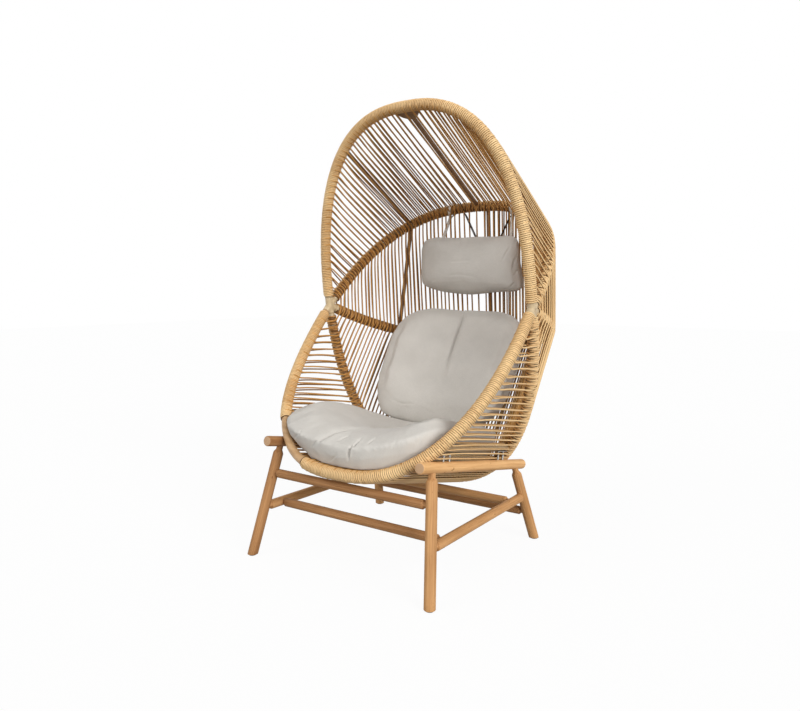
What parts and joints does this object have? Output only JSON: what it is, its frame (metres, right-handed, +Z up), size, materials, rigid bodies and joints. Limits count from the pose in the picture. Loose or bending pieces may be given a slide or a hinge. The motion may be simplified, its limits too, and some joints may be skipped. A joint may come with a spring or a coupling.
{
  "type": "hooded lounge chair",
  "caption": "Tall hooded bowl chair of cord wound over bent pipe hoops, bolted to a turned wooden stand, with loose seat, back and head cushions.",
  "frame": {"origin": "on the floor, in the middle of the chair's footprint", "axes": "+Z up, +Y from the open mouth towards the back, +X towards the sitter's left hand, seen from the front on the right"},
  "size_m": [0.8758, 0.9508, 1.4942],
  "materials": {
    "pipe": "satin powder coat",
    "cord": "round cane-like cord, fine lengthwise grain",
    "timber": "matt clear lacquer on a light hardwood",
    "glide": "moulded",
    "stud": "zinc plated",
    "cushion_cloth": "plain weave, warm light grey",
    "tie_cloth": "flat woven strap"
  },
  "bodies": {
    "bowl_and_stand": {"hood_rim": "pipe", "upper_back_hoop": "pipe", "mid_back_hoop": "pipe", "lower_back_hoop": "pipe", "seat_rim": "pipe", "side_joint_right": "pipe", "side_joint_left": "pipe", "hood_strut_right": "pipe", "hood_strut_middle": "pipe", "hood_strut_left": "pipe", "upper_back_strut_right": "pipe", "upper_back_strut_middle": "pipe", "upper_back_strut_left": "pipe", "lower_back_strut_right": "pipe", "lower_back_strut_middle": "pipe", "lower_back_strut_left": "pipe", "seat_runner_right": "pipe", "seat_runner_left": "pipe", "hood_gusset": "pipe", "hood_weave_right": "cord", "hood_weave_middle": "cord", "hood_weave_left": "cord", "upper_back_weave_right": "cord", "upper_back_weave_middle": "cord", "upper_back_weave_left": "cord", "lower_back_weave_right": "cord", "lower_back_weave_middle": "cord", "lower_back_weave_left": "cord", "seat_weave_right": "cord", "seat_weave_middle": "cord", "seat_weave_left": "cord", "seat_rim_wrap_right": "cord", "seat_rim_wrap_left": "cord", "top_rail_right": "timber", "top_rail_left": "timber", "leg_front_right": "timber", "leg_rear_right": "timber", "leg_front_left": "timber", "leg_rear_left": "timber", "glide_front_right": "glide", "glide_rear_right": "glide", "glide_front_left": "glide", "glide_rear_left": "glide", "side_stretcher_right": "timber", "side_stretcher_left": "timber", "front_rail_upper": "timber", "front_rail_lower": "timber", "rear_rail_upper": "timber", "rear_rail_lower": "timber", "stud_plate_front_right": "stud", "stud_plate_rear_right": "stud", "stud_plate_front_left": "stud", "stud_plate_rear_left": "stud"},
    "loose_seat_cushion": {"seat_cushion": "cushion_cloth"},
    "loose_back_cushion": {"back_cushion": "cushion_cloth"},
    "tied_head_pillow": {"head_pillow": "cushion_cloth", "pillow_tie_right": "tie_cloth", "pillow_tie_left": "tie_cloth"}
  },
  "joints": [
    {"name": "seat_lift", "type": "slide", "parent": "bowl_and_stand", "child": "loose_seat_cushion", "axis": [0, -0.26, 0.9656], "range_m": [0, 0.03]},
    {"name": "back_lift", "type": "slide", "parent": "loose_seat_cushion", "child": "loose_back_cushion", "axis": [0, -0.4, 0.9165], "range_m": [0, 0.03]},
    {"name": "pillow_swing", "type": "hinge", "parent": "bowl_and_stand", "child": "tied_head_pillow", "pos_m": [0.0155, 0.40506, 1.18643], "axis": [-0.9995, 0.0223, 0.0212], "range_deg": [0, 30]}
  ]
}
